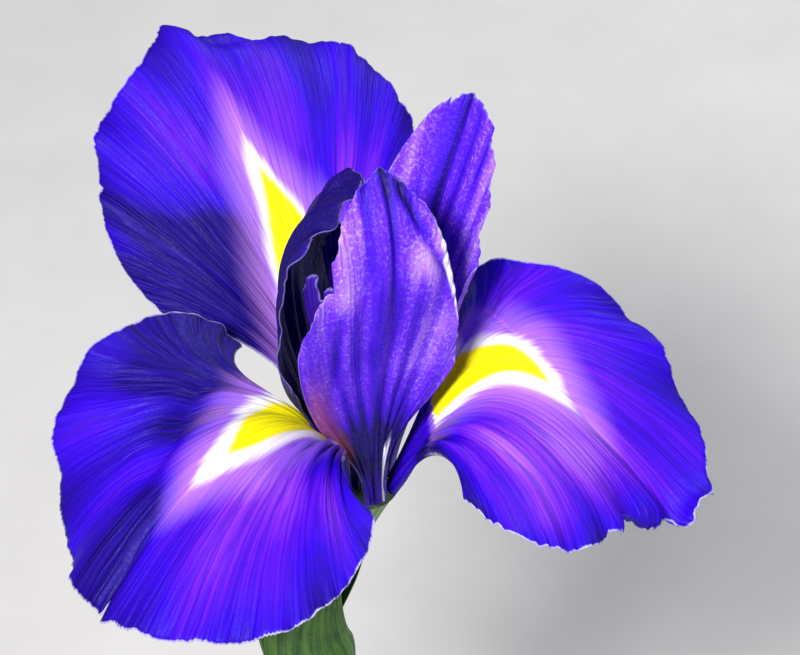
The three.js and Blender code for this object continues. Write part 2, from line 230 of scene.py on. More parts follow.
def bend_petal(petal, midrib, x, y):
    """Bends the flat petal on its midrib, curls it across, and turns it to its azimuth."""
    place, along = midrib.frame_at(y)
    u = np.clip(y / midrib.span, 0, 1)
    positive = x >= 0
    across = unit_rows(np.array([0.0, 1.0, 0.0]) - along[..., 1:2] * along)
    inward = np.cross(along, across)
    roll = np.radians(petal["roll"] * u * u)[..., None]
    across, inward = (
        across * np.cos(roll) + inward * np.sin(roll),
        inward * np.cos(roll) - across * np.sin(roll),
    )
    curl = by_side([bezier(side, u) for side in petal["curl"]], positive) / 1000
    curl = np.where(np.abs(curl) < LEAST_CURL, LEAST_CURL, curl)
    fold = np.radians(by_side([bezier(side, u) for side in petal["fold"]], positive))
    reach = np.sin(curl * x) / curl
    rise = (1 - np.cos(curl * x)) / curl
    crease = np.hypot(x, CREASE_ROUND) - CREASE_ROUND
    sideways = reach * np.cos(fold) - np.sign(x) * np.sin(fold) * rise
    upward = rise * np.cos(fold) + np.sin(fold) * crease
    point = place + sideways[..., None] * across + upward[..., None] * inward
    turn = math.radians(petal["azimuth"])
    return np.stack([
        point[..., 0] * math.cos(turn) - point[..., 1] * math.sin(turn),
        point[..., 0] * math.sin(turn) + point[..., 1] * math.cos(turn),
        point[..., 2],
    ], -1)


def grid_normals(points):
    return unit_rows(np.cross(np.gradient(points, axis=0), np.gradient(points, axis=1)))


def distance_to_rim(points):
    """How far each grid point lies from the margin or from the sides, along the grid."""
    down = np.linalg.norm(np.diff(points, axis=0), axis=-1)
    over = np.linalg.norm(np.diff(points, axis=1), axis=-1)
    to_margin = np.cumsum(np.pad(down, ((0, 1), (0, 0)))[::-1], axis=0)[::-1]
    from_left = np.cumsum(np.pad(over, ((0, 0), (1, 0))), axis=1)
    from_right = np.cumsum(np.pad(over, ((0, 0), (0, 1)))[:, ::-1], axis=1)[:, ::-1]
    return np.minimum(to_margin, np.minimum(from_left, from_right))


# ---- Meshes ----
def make_object(name, vertices, faces, uv, fields, material):
    """A smooth mesh from vertices in millimetres, with a UV map and named point values."""
    mesh = bpy.data.meshes.new(name)
    mesh.from_pydata((vertices * MM).tolist(), [], faces)
    mesh.update()
    corner_vertex = np.zeros(len(mesh.loops), int)
    mesh.loops.foreach_get("vertex_index", corner_vertex)
    layer = mesh.uv_layers.new(name="skin")
    layer.data.foreach_set("uv", uv[corner_vertex].astype(np.float32).ravel())
    for field, values in fields.items():
        made = mesh.attributes.new(field, "FLOAT", "POINT")
        made.data.foreach_set("value", values.astype(np.float32).ravel())
    mesh.polygons.foreach_set("use_smooth", [True] * len(mesh.polygons))
    mesh.materials.append(material)
    piece = bpy.data.objects.new(name, mesh)
    bpy.context.scene.collection.objects.link(piece)
    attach(piece, "root")
    return piece


def sheet_faces(rows, columns):
    """Faces of a closed skin: a grid above, the same grid below, and the strip round both."""
    wide = columns + 1
    below = (rows + 1) * wide
    row, column = np.meshgrid(np.arange(rows), np.arange(columns), indexing="ij")
    a = (row * wide + column).ravel()
    top = np.stack([a, a + wide, a + wide + 1, a + 1], -1)
    bottom = np.stack([a, a + 1, a + wide + 1, a + wide], -1) + below
    near = np.arange(columns)
    far = rows * wide + near
    left = np.arange(rows) * wide
    right = left + columns
    rims = [
        np.stack([near, near + 1, near + 1 + below, near + below], -1),
        np.stack([far, far + below, far + 1 + below, far + 1], -1),
        np.stack([left, left + below, left + wide + below, left + wide], -1),
        np.stack([right, right + wide, right + wide + below, right + below], -1),
    ]
    return np.concatenate([top, bottom, *rims]).tolist()


def make_sheet(name, points, thickness, s, t, fields, material):
    """A closed skin about a grid of points; the field 'under' marks its lower face."""
    normals = grid_normals(points)
    half = normals * np.broadcast_to(thickness, s.shape)[..., None] / 2
    vertices = np.concatenate([(points + half).reshape(-1, 3), (points - half).reshape(-1, 3)])
    flat = np.stack([(t + 1) / 2, s], -1).reshape(-1, 2)
    both = {key: np.concatenate([value.ravel()] * 2) for key, value in fields.items()}
    both["under"] = np.concatenate([np.zeros(s.size), np.ones(s.size)])
    faces = sheet_faces(s.shape[0] - 1, s.shape[1] - 1)
    return make_object(name, vertices, faces, np.concatenate([flat, flat]), both, material)


MARGIN_BAND = 8
MARGIN_GAIN = 1.6


def petal_grid(petal, cells, margin=None):
    """Grid and flat coordinates and bent points of a petal, cut back by its margin, in mm."""
    rows, columns = cells
    s, t = np.meshgrid(np.linspace(0, 1, rows + 1), np.linspace(-1, 1, columns + 1), indexing="ij")
    midrib = Midrib(petal["midrib"], petal["sway"])
    cut = s if margin is None else s * (1 - margin(t) * s**MARGIN_BAND / midrib.span / MARGIN_GAIN)
    x, y = flat_petal(petal, midrib.span, cut, t)
    return s, t, x, y, bend_petal(petal, midrib, x, y)


# ---- Materials ----
class Shader:
    """A material's node tree, with short calls for the nodes it is built from."""

    def __init__(self, name):
        self.material = bpy.data.materials.new(name)
        self.material.use_nodes = True
        self.tree = self.material.node_tree
        self.tree.nodes.clear()

    def node(self, kind, inputs=None, **settings):
        made = self.tree.nodes.new("ShaderNode" + kind)
        for key, value in settings.items():
            setattr(made, key, value)
        for key, value in (inputs or {}).items():
            if isinstance(value, bpy.types.NodeSocket):
                self.tree.links.new(value, made.inputs[key])
            else:
                made.inputs[key].default_value = value
        return made

    def math(self, operation, a, b=0.0, c=0.0):
        return self.node("Math", {0: a, 1: b, 2: c}, operation=operation).outputs[0]

    def field(self, name):
        return self.node("Attribute", attribute_name=name).outputs["Fac"]

    def skin(self, across, along, seed):
        """Texture coordinates that run across the petal and along its veins."""
        uv = self.node("UVMap", uv_map="skin").outputs[0]
        parts = self.node("SeparateXYZ", {0: uv})
        x = self.times(parts.outputs[0], across)
        y = self.times(parts.outputs[1], along)
        return self.node("CombineXYZ", {0: x, 1: y, 2: seed}).outputs[0]

    def noise(self, vector, scale, detail=2.0, roughness=0.5):
        inputs = {"Vector": vector, "Scale": scale, "Detail": detail, "Roughness": roughness}
        return self.node("TexNoise", inputs).outputs["Fac"]

    def grain(self, across, along, seed, detail=3.0, roughness=0.6):
        """Noise stretched along the petal: how many grains go across it and along it."""
        return self.noise(self.skin(across, along, seed), 1.0, detail, roughness)

    def times(self, a, b):
        return self.math("MULTIPLY", a, b)

    def scaled(self, value, factor, added):
        return self.math("MULTIPLY_ADD", value, factor, added)

    def varied(self, value, noise, amount):
        """A value raised and lowered by noise about its middle."""
        return self.scaled(self.math("SUBTRACT", noise, 0.5), amount, value)

    def place(self):
        return self.node("TexCoord").outputs["Object"]

    def span(self, value, low, high, to_low=0.0, to_high=1.0):
        """Maps low..high to to_low..to_high, smoothly and within those limits."""
        inputs = {0: value, 1: low, 2: high, 3: to_low, 4: to_high}
        return self.node("MapRange", inputs, interpolation_type="SMOOTHSTEP").outputs[0]

    def ramp(self, value, stops):
        made = self.node("ValToRGB", {0: value})
        points = made.color_ramp.elements
        while len(points) < len(stops):
            points.new(0.5)
        for point, (position, color) in zip(points, stops):
            point.position = position
            point.color = (*color, 1)
        return made.outputs["Color"]

    def blend(self, factor, a, b):
        made = self.node("Mix", data_type="RGBA")
        sockets = [s for s in made.inputs if s.type == "RGBA"]
        for socket, value in ((made.inputs[0], factor), (sockets[0], a), (sockets[1], b)):
            if isinstance(value, bpy.types.NodeSocket):
                self.tree.links.new(value, socket)
            elif isinstance(value, tuple):
                socket.default_value = (*value, 1)
            else:
                socket.default_value = value
        return next(o for o in made.outputs if o.type == "RGBA")

    def bump(self, height, strength, distance):
        inputs = {"Height": height, "Strength": strength, "Distance": distance}
        return self.node("Bump", inputs).outputs[0]

    def finish(self, color, normal, roughness=0.5, glow=0.0, **constants):
        """Ends the tree in a Principled shader, partly see-through to light where glow is set."""
        surface = self.node("BsdfPrincipled", {"Base Color": color, "Roughness": roughness})
        for key, value in constants.items():
            surface.inputs[key.replace("_", " ")].default_value = value
        self.tree.links.new(normal, surface.inputs["Normal"])
        shown = surface.outputs[0]
        if glow:
            behind = self.node("BsdfTranslucent", {"Color": color, "Normal": normal})
            mixed = self.node("MixShader", {0: glow, 1: shown, 2: behind.outputs[0]})
            shown = mixed.outputs[0]
        output = self.node("OutputMaterial")
        self.tree.links.new(shown, output.inputs["Surface"])
        return self.material


# ---- Colours, linear ----
NIGHT_BLUE = (0.006, 0.0004, 0.16)
DEEP_BLUE = (0.020, 0.001, 0.45)
BLUE = (0.040, 0.001, 0.80)
BLUE_VIOLET = (0.12, 0.006, 0.86)
VIOLET = (0.27, 0.035, 0.90)
ORCHID = (0.50, 0.17, 0.92)
PALE_EDGE = (0.66, 0.62, 0.95)
SIGNAL_WHITE = (0.95, 0.94, 0.90)
SIGNAL_YELLOW = (1.0, 0.96, 0.006)
SIGNAL_GOLD = (0.97, 0.86, 0.003)
# Painted glow: yellow light showing through a thin petal.
AMBER_GLOW = (0.42, 0.10, 0.015)
FALL_STOPS = [
    (0.0, NIGHT_BLUE), (0.12, DEEP_BLUE), (0.3, BLUE),
    (0.5, BLUE_VIOLET), (0.75, VIOLET), (1.0, ORCHID),
]
FALL_VEIN = (0.022, 0.001, 0.36)
FALL_HALO = (0.62, 0.27, 0.93)
FALL_UNDERSIDE = (0.20, 0.16, 0.62)
STANDARD_STOPS = [
    (0.0, (0.008, 0.0006, 0.15)), (0.22, (0.05, 0.002, 0.66)), (0.5, (0.17, 0.02, 0.95)),
    (0.75, (0.46, 0.18, 0.95)), (1.0, (0.80, 0.52, 0.98)),
]
STANDARD_VEIN = (0.035, 0.003, 0.42)
# Painted highlight on the rolled right margin of the front standard.
SLIVER_HIGHLIGHT = (0.90, 0.86, 0.97)
STANDARD_RIM = (0.50, 0.42, 0.90)
# Painted highlight: lavender glints of sparkle on the standards.
SPARKLE_HIGHLIGHT = (0.76, 0.62, 0.97)
STYLE_STOPS = [(0.0, (0.016, 0.002, 0.20)), (0.6, (0.05, 0.012, 0.38)), (1.0, (0.16, 0.09, 0.55))]
GREEN_FLECK = (0.40, 0.56, 0.22)
GREENS = {
    "stem": ((0.055, 0.13, 0.03), (0.16, 0.30, 0.07)),
    "ovary": ((0.09, 0.19, 0.06), (0.27, 0.42, 0.16)),
    "spathe": ((0.025, 0.105, 0.012), (0.12, 0.30, 0.05)),
    "leaf": ((0.045, 0.12, 0.035), (0.13, 0.27, 0.08)),
}
POLLEN_STOPS = [(0.3, (0.30, 0.20, 0.05)), (0.55, (0.72, 0.55, 0.16)), (0.8, (0.93, 0.84, 0.5))]
GLAZE_STOPS = [(0.3, (0.50, 0.49, 0.45)), (0.5, (0.62, 0.60, 0.55)), (0.72, (0.72, 0.70, 0.65))]
IRON_SPECK = (0.16, 0.11, 0.07)
CLAY_STOPS = [(0.35, (0.33, 0.22, 0.15)), (0.65, (0.50, 0.37, 0.27))]
FLOOR_STOPS = [(0.3, (0.52, 0.515, 0.51)), (0.7, (0.56, 0.555, 0.55))]


def vein_lines(shader, count, seed):
    """Thin wandering lines that fan out from the claw to the margin."""
    uv = shader.node("UVMap", uv_map="skin").outputs[0]
    across = shader.node("SeparateXYZ", {0: uv}).outputs[0]
    wander = shader.grain(across=8, along=2.2, seed=seed)
    phase = shader.scaled(across, count, shader.times(wander, 3.0))
    wave = shader.math("COSINE", shader.times(phase, 2 * math.pi))
    strength = shader.grain(across=count * 0.7, along=3.0, seed=seed + 5, detail=2.0)
    return shader.times(shader.span(wave, 0.1, 1.0), shader.span(strength, 0.25, 0.6))


def fall_material():
    shader = Shader("fall_petal")
    edge = shader.field("edge")
    along = shader.field("along")
    streak = shader.grain(across=90, along=1.6, seed=1.0)
    broad = shader.grain(across=8, along=2.5, seed=4.0, roughness=0.5)
    shade = shader.varied(shader.field("tone"), streak, 0.13)
    shade = shader.varied(shade, broad, 0.45)
    color = shader.ramp(shade, FALL_STOPS)

    coarse = vein_lines(shader, 34, 7.0)
    middle = shader.times(vein_lines(shader, 67, 2.0), shader.span(along, 0.45, 0.7))
    fine = shader.times(vein_lines(shader, 131, 3.0), shader.span(along, 0.72, 0.9))
    veins = shader.math("MAXIMUM", coarse, shader.math("MAXIMUM", middle, fine))
    color = shader.blend(shader.times(veins, 0.6), color, FALL_VEIN)

    feather = shader.math("SUBTRACT", shader.grain(across=80, along=2.0, seed=9.0, detail=2.0), 0.5)
    under = shader.field("under")
    above = shader.scaled(under, -0.75, 1.0)
    white = shader.scaled(feather, 0.32, shader.field("white"))
    halo = shader.times(shader.span(white, -1.1, 0.1, 0.0, 0.6), above)
    color = shader.blend(halo, color, FALL_HALO)
    marked = shader.times(shader.span(white, -0.1, 0.22), above)
    color = shader.blend(marked, color, SIGNAL_WHITE)
    veins = shader.times(veins, shader.math("SUBTRACT", 1.0, marked))
    gold = shader.blend(shader.span(streak, 0.4, 0.7), SIGNAL_YELLOW, SIGNAL_GOLD)
    yellow = shader.scaled(feather, 0.12, shader.field("yellow"))
    color = shader.blend(shader.times(shader.span(yellow, -0.02, 0.2), above), color, gold)

    uneven = shader.noise(shader.place(), 700.0)
    rim = shader.scaled(uneven, -0.5, edge)
    pale = shader.times(shader.span(rim, -0.25, 0.12, 0.85, 0.0), shader.span(along, 0.3, 0.5))
    color = shader.blend(pale, color, PALE_EDGE)
    dull = shader.blend(0.35, color, FALL_UNDERSIDE)
    color = shader.blend(shader.times(under, 0.7), color, dull)

    sparkle = shader.noise(shader.place(), 2400.0, detail=2.0, roughness=0.7)
    height = shader.scaled(veins, -1.2, shader.times(sparkle, 0.6))
    height = shader.scaled(streak, 0.35, height)
    normal = shader.bump(height, strength=0.5, distance=0.00022)
    roughness = shader.span(sparkle, 0.35, 0.7, 0.45, 0.65)
    return shader.finish(color, normal, roughness, glow=0.3, Specular_IOR_Level=0.14)


def standard_material():
    shader = Shader("standard_petal")
    edge = shader.field("edge")
    streak = shader.grain(across=36, along=6.0, seed=3.0, detail=4.0, roughness=0.65)
    patch = shader.grain(across=9, along=5.0, seed=8.0)
    shade = shader.varied(shader.field("tone"), streak, 0.16)
    shade = shader.varied(shade, patch, 0.34)
    color = shader.ramp(shade, STANDARD_STOPS)
    veins = vein_lines(shader, 40, 5.0)
    color = shader.blend(shader.times(veins, 0.12), color, STANDARD_VEIN)
    # Painted light: the amber glow of yellow light shining through the petal.
    color = shader.blend(shader.field("amber_glow"), color, AMBER_GLOW)
    # Painted highlight: the near-white sliver on the rolled margin.
    color = shader.blend(shader.field("pale"), color, SLIVER_HIGHLIGHT)
    uneven = shader.noise(shader.place(), 700.0)
    rim = shader.scaled(uneven, -0.5, edge)
    color = shader.blend(shader.span(rim, -0.25, 0.02, 0.3, 0.0), color, STANDARD_RIM)

    sparkle = shader.noise(shader.place(), 1700.0, detail=3.0, roughness=0.75)
    # Painted highlight: lavender glints in the grain, stronger where the petal is paler.
    painted_sparkle = shader.times(shader.span(sparkle, 0.47, 0.7), shader.span(shade, 0.2, 0.8, 0.02, 0.6))
    color = shader.blend(painted_sparkle, color, SPARKLE_HIGHLIGHT)
    height = shader.scaled(sparkle, 1.6, streak)
    height = shader.scaled(veins, -0.4, height)
    normal = shader.bump(height, strength=0.6, distance=0.00025)
    roughness = shader.span(sparkle, 0.35, 0.7, 0.52, 0.34)
    return shader.finish(color, normal, roughness, glow=0.26, Specular_IOR_Level=0.22)


def style_material():
    shader = Shader("style_arm")
    streak = shader.grain(across=16, along=1.5, seed=3.0)
    shade = shader.varied(shader.field("tone"), streak, 0.9)
    color = shader.ramp(shade, STYLE_STOPS)
    rim = shader.span(shader.field("edge"), 0.0, 0.3, 0.15, 0.0)
    color = shader.blend(rim, color, PALE_EDGE)
    sparkle = shader.noise(shader.place(), 2500.0, detail=2.0, roughness=0.7)
    height = shader.scaled(sparkle, 0.7, streak)
    normal = shader.bump(height, strength=0.5, distance=0.0002)
    return shader.finish(color, normal, 0.5, glow=0.12, Specular_IOR_Level=0.2)


def green_material(name, colors, across, glow):
    """Ribbed green tissue with lengthwise veins, pale flecks and a waxy bloom."""
    shader = Shader(name)
    ribs = shader.grain(across, along=1.0, seed=2.0, detail=2.0)
    mottle = shader.noise(shader.place(), 160.0, detail=4.0, roughness=0.65)
    mix = shader.varied(mottle, ribs, 1.2)
    color = shader.blend(shader.span(mix, 0.25, 0.75), *colors)
    flecks = shader.noise(shader.place(), 1400.0, detail=2.0, roughness=0.6)
    color = shader.blend(shader.span(flecks, 0.6, 0.75, 0.0, 0.3), color, GREEN_FLECK)
    height = shader.scaled(ribs, 2.0, shader.times(flecks, 0.4))
    normal = shader.bump(height, strength=0.6, distance=0.0003)
    roughness = shader.span(mottle, 0.3, 0.7, 0.38, 0.6)
    return shader.finish(color, normal, roughness, glow=glow, Specular_IOR_Level=0.4)


def anther_material():
    shader = Shader("pollen")
    grain = shader.noise(shader.place(), 3200.0, detail=3.0, roughness=0.7)
    color = shader.ramp(grain, POLLEN_STOPS)
    return shader.finish(color, shader.bump(grain, strength=0.9, distance=0.0003), 0.85)


def glaze_material(foot_height):
    """Warm grey glaze with fine iron specks over a bare clay foot."""
    shader = Shader("glaze")
    place = shader.place()
    pooled = shader.noise(place, 26.0, detail=4.0, roughness=0.55)
    color = shader.ramp(pooled, GLAZE_STOPS)
    specks = shader.node("TexVoronoi", {"Vector": place, "Scale": 420.0}).outputs["Distance"]
    size = shader.noise(place, 60.0, detail=1.0)
    limit = shader.scaled(size, 0.34, -0.06)
    dot = shader.span(shader.math("SUBTRACT", specks, limit), 0.0, 0.05, 0.85, 0.0)
    color = shader.blend(dot, color, IRON_SPECK)
    height = shader.node("SeparateXYZ", {0: place}).outputs[2]
    wander = shader.scaled(shader.noise(place, 45.0), 0.0022, -0.0011)
    line = shader.math("ADD", height, wander)
    bare = shader.span(line, foot_height, foot_height + 0.0006, 1.0, 0.0)
    clay = shader.ramp(shader.noise(place, 900.0, detail=4.0, roughness=0.7), CLAY_STOPS)
    color = shader.blend(bare, color, clay)
    grit = shader.noise(place, 1500.0)
    wave = {"Vector": place, "Scale": 60.0, "Distortion": 1.2, "Detail": 1.0}
    rings = shader.node("TexWave", wave, wave_type="BANDS", bands_direction="Z").outputs["Fac"]
    relief = shader.scaled(shader.times(grit, bare), 1.5, rings)
    roughness = shader.scaled(bare, 0.55, 0.22)
    normal = shader.bump(relief, strength=0.25, distance=0.0003)
    return shader.finish(color, normal, roughness, Specular_IOR_Level=0.5, Coat_Weight=0.2)


# ---- Petals ----
def mark_shape(x, y, shift, size):
    """Above zero inside a tongue of the given half width that ends at the given distance."""
    half, end = size
    along = np.maximum(y - SIGNAL_START, 0) / (end - SIGNAL_START)
    covered = 2.5 * smooth(SIGNAL_START - 1, SIGNAL_START - 7, y)
    return 1 - np.abs(x - shift) / half - along**2.2 - covered


# Painted highlights and painted shade: soft patches paler or deeper than the rest of a petal,
# where light falls on it or where shade lies. How far across and how far from the claw each lies
# and how far it reaches, in mm, and how much paler it is.
PAINTED_LIGHT_PATCHES = {
    "fall_right": [
        (-4, 53, 7, 0.34), (-14, 50, 8, 0.34), (-11, 41, 7, 0.34), (-9, 31, 7, 0.34), (3, 64, 6, 0.18),
        (17, 34, 8, 0.08), (10, 55, 7, -0.10), (-23, 51, 5, 0.2),
    ],
    "fall_rear": [
        (-4, 58, 9, 0.12), (18, 40, 10, -0.45), (9, 34, 9, -0.5), (8, 42, 6, -0.25), (-18, 43, 7, 0.18),
        (2, 70, 8, -0.08), (-21, 55, 8, -0.10),
    ],
    "fall_left": [
        (-23, 34, 9, -0.34), (-14, 38, 8, -0.38), (-5, 54, 5, -0.35), (-9, 63, 6, -0.2),
        (6, 43, 6, 0.35), (11, 38, 6, 0.15), (13, 55, 10, 0.15), (-17, 28, 7, -0.3), (18, 41, 6, 0.16),
    ],
    "standard_front": [
        (-7, 61, 6, 0.24), (5, 55, 5, 0.48), (-8, 51, 4, 0.28), (-9, 34, 5, -0.06), (4.5, 33, 5, 0.18),
        (9, 40, 4, 0.2), (-1, 13, 8, -0.4), (1, 63, 3, 0.1), (-2, 36, 4, -0.08),
    ],
}


# Adds up the painted highlights and painted shade of one petal's patches.
def painted_light(name, x, y):
    total = 0.0 * x
    for across, along, reach, amount in PAINTED_LIGHT_PATCHES.get(name, []):
        total = total + amount * np.exp(-((x - across) ** 2 + (y - along) ** 2) / reach**2)
    return total


FALL_TONE = 0.31


def fall_fields(name, s, t, x, y, edge):
    """Where the yellow and white lie, and how pale the petal is, with painted shade and painted
    highlights in that paleness.
    """
    mark = SIGNALS[name]
    shift = mark["shift"] * smooth(8, 20, y) * smooth(mark["meets"], mark["meets"] - 16, y)
    wander = 0.12 * waves(t, s, 4, 2, 3)
    white = mark_shape(x, y, shift, mark["white"]) + wander
    yellow = mark_shape(x, y, shift, mark["yellow"])
    near = np.exp(-np.maximum(-white, 0) / 2.2)
    # Painted shade: the haft beside the signal is darkened towards the claw, where the standards shade
    # it.
    painted_shade = smooth(38, 18, y) * smooth(3, 8, np.abs(x - shift))
    tone = FALL_TONE + 0.30 * near - 0.2 * np.exp(-edge / 8) - 0.4 * painted_shade
    tone = tone + 0.09 * waves(t, s, 3, 1, 5) + painted_light(name, x, y)
    if name == "fall_left":
        # Painted shade: a dark band down the crease near the tip, where the valley lies in shadow.
        tone = tone - 0.45 * bump_at(x, -2.5, 4.0) * smooth(46, 62, y)
    if name == "fall_right":
        # Painted highlight: a thin pale line along the ridge of the right fall's crease.
        crease_highlight_span = smooth(25, 32, y) * smooth(48, 42, y)
        tone = tone + 0.45 * bump_at(x, crease_line(y), 0.35) * crease_highlight_span
    midline = np.exp(-((x / 0.35) ** 2)) * smooth(0.97, 0.7, s) * smooth(0.5, 0.6, s)
    return {"white": white, "yellow": yellow, "tone": tone + 0.4 * midline, "edge": edge, "along": s}


def fall_relief(s, t, edge, seed):
    """Ruffles at the margin, low swells in the blade and fine ribs between the veins."""
    ruffle = 0.75 * np.exp(-edge / 6) * waves(t, s, 5, 0.6, seed)
    frill = 0.22 * np.exp(-edge / 2.2) * waves(t, s, 18, 0.8, seed + 1)
    swell = 0.5 * smooth(0.25, 0.7, s) * waves(t, s, 1.8, 1.0, seed + 2)
    ribs = 0.05 * smooth(0.1, 0.4, s) * waves(t, s, 30, 0.4, seed + 3)
    return ruffle + frill + swell + ribs


def bump_at(value, centre, width):
    return np.exp(-(((value - centre) / width) ** 2))


def crease_line(y):
    """Where the right fall's crease runs, from its upper side down to the midline, in mm."""
    return 15.5 * (np.maximum(52 - y, 0) / 24) ** 1.9


def fall_creases(name, s, t, x, y, edge):
    """The folds that one petal has and its neighbours lack, in mm above the smooth blade."""
    if name == "fall_right":
        return -1.3 * np.exp(-np.abs(x - crease_line(y)) / 1.8) * smooth(24, 34, y)
    if name == "fall_left":
        valley = -3.0 * np.exp(-np.hypot(x + 1.0, 0.6) / 2.4) * smooth(44, 68, y)
        fold = -1.7 * bump_at(x + 11.5, 0.25 * (y - 40), 2.2) * smooth(30, 36, y) * smooth(58, 48, y)
        ridge = 1.2 * bump_at(t, -0.66, 0.05) * smooth(0.6, 0.85, s)
        return valley + fold + ridge
    lip = bump_at(t, -0.13, 0.09)
    return -1.6 * lip * bump_at(edge, 3.0, 1.8) + 0.5 * lip * np.exp(-edge / 1.2)


def nicked(seed, depth, notches=(), lobes=()):
    """A margin cut back by small random nicks and single notches, and let out by lobes, in mm."""
    def margin(t):
        fine = np.abs(waves(t, 0 * t, 34, 0, seed))
        coarse = np.maximum(waves(t, 0 * t, 9, 0, seed + 1), 0)
        cut = depth * (0.55 * fine + 0.6 * coarse)
        for start, end, deep in notches:
            ramp = np.clip((t - start) / (end - start), 0, 1)
            cut = cut + deep * ramp * (ramp < 1)
        for centre, width, out in lobes:
            cut = cut - out * bump_at(t, centre, width)
        return cut
    return margin


# Single notches of a margin: where one starts and ends from side to side, and its depth in mm.
NOTCHES = {
    "fall_right": [(-0.19, -0.275, 2.6), (0.60, 0.545, 1.2)],
    "fall_left": [(-0.022, 0.008, 3.0), (0.05, 0.008, -0.8), (-0.13, -0.20, 1.0)],
    "fall_rear": [(0.16, 0.0, -1.2), (-0.10, -0.02, 0.8), (0.62, 0.57, 1.0), (-0.45, -0.5, 0.9)],
    "standard_front": [
        (-0.73, -0.57, 4.6), (-0.98, -0.73, -1.1), (0.10, 0.02, -1.0), (-0.10, 0.02, -1.0),
    ],
    "standard_rear": [(-0.40, -0.30, 1.6), (0.12, 0.2, 0.9)],
    "standard_left": [(0.30, 0.38, 1.2)],
}

# Wider lobes and hollows of a margin: middle and width from side to side, and mm outward.
LOBES = {
    "fall_right": [
        (0.62, 0.05, -1.0), (0.50, 0.03, 0.6), (0.14, 0.08, 0.9), (-0.82, 0.08, -0.7), (-1, 0.08, -1.4),
    ],
    "fall_left": [
        (-0.92, 0.05, 1.2), (0.78, 0.12, -1.6), (-0.41, 0.06, -0.7), (-0.49, 0.03, 0.6),
        (1, 0.05, -1.2),
    ],
    "fall_rear": [
        (0, 0.04, 0.9), (-0.22, 0.1, 1.0), (-0.70, 0.14, -1.5), (0.37, 0.08, 1.1), (0.64, 0.03, -0.8),
        (-0.555, 0.045, -1.5),
    ],
}


FALL_CELLS = (110, 360)
FALL_SEED = 11
FALL_NICKS = 0.4


def build_falls():
    material = fall_material()
    for seed, (name, petal) in enumerate(FALLS.items(), FALL_SEED):
        margin = nicked(seed, FALL_NICKS, NOTCHES[name], LOBES[name])
        s, t, x, y, points = petal_grid(petal, FALL_CELLS, margin)
        edge = distance_to_rim(points)
        relief = fall_relief(s, t, edge, seed * 10) + fall_creases(name, s, t, x, y, edge)
        points = points + grid_normals(points) * relief[..., None]
        rib = 0.5 * bump_at(x, 0, 2.5) * (1 - 0.8 * s)
        thickness = 0.32 + rib - 0.14 * np.exp(-edge / 0.8)
        fields = fall_fields(name, s, t, x, y, edge)
        placed = points + FLOWER_BASE
        piece = make_sheet(name + "_petal", placed, thickness, s, t, fields, material)
        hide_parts(name)


def standard_folds(name, x, y):
    """Grooves that run down from the tip, as depths that GROOVE_DEPTH turns into mm; the same values
    darken the colour as painted shade in the grooves.
    """
    if name == "standard_front":
        main = bump_at(x, 0.3, 0.9) * smooth(34, 60, y)
        left = 0.8 * bump_at(x, -3.6, 0.8) * smooth(44, 60, y)
        slant = bump_at(x, 2.6 + 0.42 * np.maximum(66 - y, 0), 0.9) * smooth(46, 54, y)
        side = 0.4 * bump_at(x, -7.5, 0.8) * smooth(20, 30, y) * smooth(52, 44, y)
        groove = main + left + 0.9 * slant + side
    elif name == "standard_rear":
        main = 0.7 * bump_at(x, 0.8, 0.7) * smooth(30, 50, y)
        left = 0.5 * bump_at(x, -5, 0.7) * smooth(40, 60, y)
        groove = main + left
    else:
        crumple = waves(x / 10, y / 10, 1.6, 1.6, 7) * smooth(54, 62, y)
        groove = 0.6 * bump_at(x, 0, 0.9) * smooth(20, 40, y) + 0.6 * crumple
    return groove


# How pale each standard is: at its claw, and how much paler at its tip. The left standard's low
# start is painted shade: it darkens the whole petal as if it stood in shadow.
STANDARD_TONES_AND_SHADE = {
    "standard_front": (0.26, 0.20), "standard_rear": (0.24, 0.32), "standard_left": (-0.2, 0.16),
}

# Which way and how deep the grooves are pressed, in mm.
GROOVE_DEPTH = {"standard_front": 1.0, "standard_rear": -0.8, "standard_left": 0.8}


def standard_fields(name, s, t, x, y, edge, groove):
    start, gain = STANDARD_TONES_AND_SHADE[name]
    flanks = smooth(2, 8, np.abs(x)) * smooth(0.25, 0.6, s)
    tone = start + gain * smooth(0.2, 0.8, s) * (0.3 + 0.7 * flanks)
    # The grooves are darkened as painted shade.
    tone = tone - 0.45 * np.clip(groove, 0, 1) + 0.06 * waves(t, s, 3, 2, 9) + painted_light(name, x, y)
    amber_glow = np.zeros(s.shape)
    pale = np.zeros(s.shape)
    if name == "standard_front":
        # Painted light: an amber glow on the lower left side, for yellow light shining through the
        # petal.
        amber_glow = 0.62 * smooth(-0.62, -0.95, t) * smooth(0.25, 0.4, s) * smooth(0.92, 0.7, s)
        # Painted highlight: a near-white sliver along the rolled right margin, as if strongly lit.
        sliver = 2.2 * bump_at(t, 0.62, 0.15)
        pale = smooth(sliver + 0.2, sliver - 0.2, edge) * smooth(0.2, 0.5, sliver)
    if name == "standard_left":
        # Painted light: an amber glow at the base, for yellow light shining through the petal.
        amber_glow = 0.5 * smooth(0.42, 0.3, s)
    return {"tone": tone, "edge": edge, "amber_glow": amber_glow, "pale": pale}


def standard_relief(s, t, edge, seed):
    ruffle = 0.5 * np.exp(-edge / 4) * waves(t, s, 4, 0.8, seed + 1)
    frill = 0.14 * np.exp(-edge / 1.6) * waves(t, s, 16, 1, seed + 2)
    swell = 0.35 * smooth(0.3, 0.7, s) * waves(t, s, 2.2, 1.5, seed + 4)
    ribs = 0.012 * waves(t, s, 16, 0.8, seed + 3)
    return ruffle + frill + swell + ribs


STANDARD_CELLS = (110, 220)
STANDARD_SEED = 31
STANDARD_NICKS = 0.3


